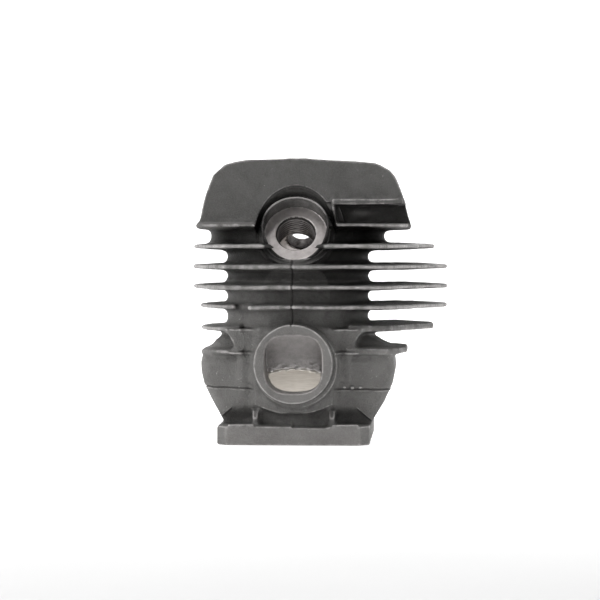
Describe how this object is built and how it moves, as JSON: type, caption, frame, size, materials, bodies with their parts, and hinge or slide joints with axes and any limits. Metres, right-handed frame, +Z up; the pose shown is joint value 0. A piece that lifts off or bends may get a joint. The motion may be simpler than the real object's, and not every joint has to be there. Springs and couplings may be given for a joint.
{
  "type": "two-stroke engine cylinder with integral head",
  "caption": "Air-cooled two-stroke cylinder cast in one piece with its head: plated bore, intake pipe, tilted plug boss, side fins and a four-hole base flange.",
  "frame": {"origin": "on the bore axis, in the plane of the base flange's gasket face", "axes": "+Z up the bore towards the head, -Y out of the intake pipe, +Y out of the exhaust port, +X towards the longer fins"},
  "size_m": [0.0919, 0.077, 0.0996],
  "materials": {
    "cast_aluminium": "shot-blasted casting with trimmed, lightly worn fin edges",
    "cast_aluminium_dark": "shot-blasted casting, darker as cast",
    "machined_aluminium": "turned",
    "plated_bore": "honed wear-resistant plating"
  },
  "bodies": {
    "root": {"bore_lining": "plated_bore", "cylinder_barrel": "cast_aluminium", "combustion_head": "cast_aluminium_dark", "spark_plug_boss": "machined_aluminium", "decompression_valve_boss": "machined_aluminium", "base_flange": "cast_aluminium", "transfer_housing_left": "cast_aluminium", "transfer_housing_right": "cast_aluminium", "intake_spigot": "cast_aluminium", "exhaust_flange": "cast_aluminium", "cooling_fin_1_left": "cast_aluminium", "cooling_fin_1_right": "cast_aluminium", "cooling_fin_2": "cast_aluminium", "cooling_fin_3": "cast_aluminium", "cooling_fin_4": "cast_aluminium", "cooling_fin_5": "cast_aluminium", "cooling_fin_6_left": "cast_aluminium", "cooling_fin_6_right": "cast_aluminium", "cooling_fin_7_left": "cast_aluminium", "cooling_fin_7_right": "cast_aluminium", "head_fin_1": "cast_aluminium_dark", "head_fin_2": "cast_aluminium_dark", "head_fin_3": "cast_aluminium_dark", "head_fin_4": "cast_aluminium_dark", "head_fin_5": "cast_aluminium_dark", "head_fin_6": "cast_aluminium_dark", "head_fin_7": "cast_aluminium_dark", "head_side_ledge": "cast_aluminium_dark", "flange_rib_left": "cast_aluminium", "flange_rib_right": "cast_aluminium"}
  },
  "joints": []
}
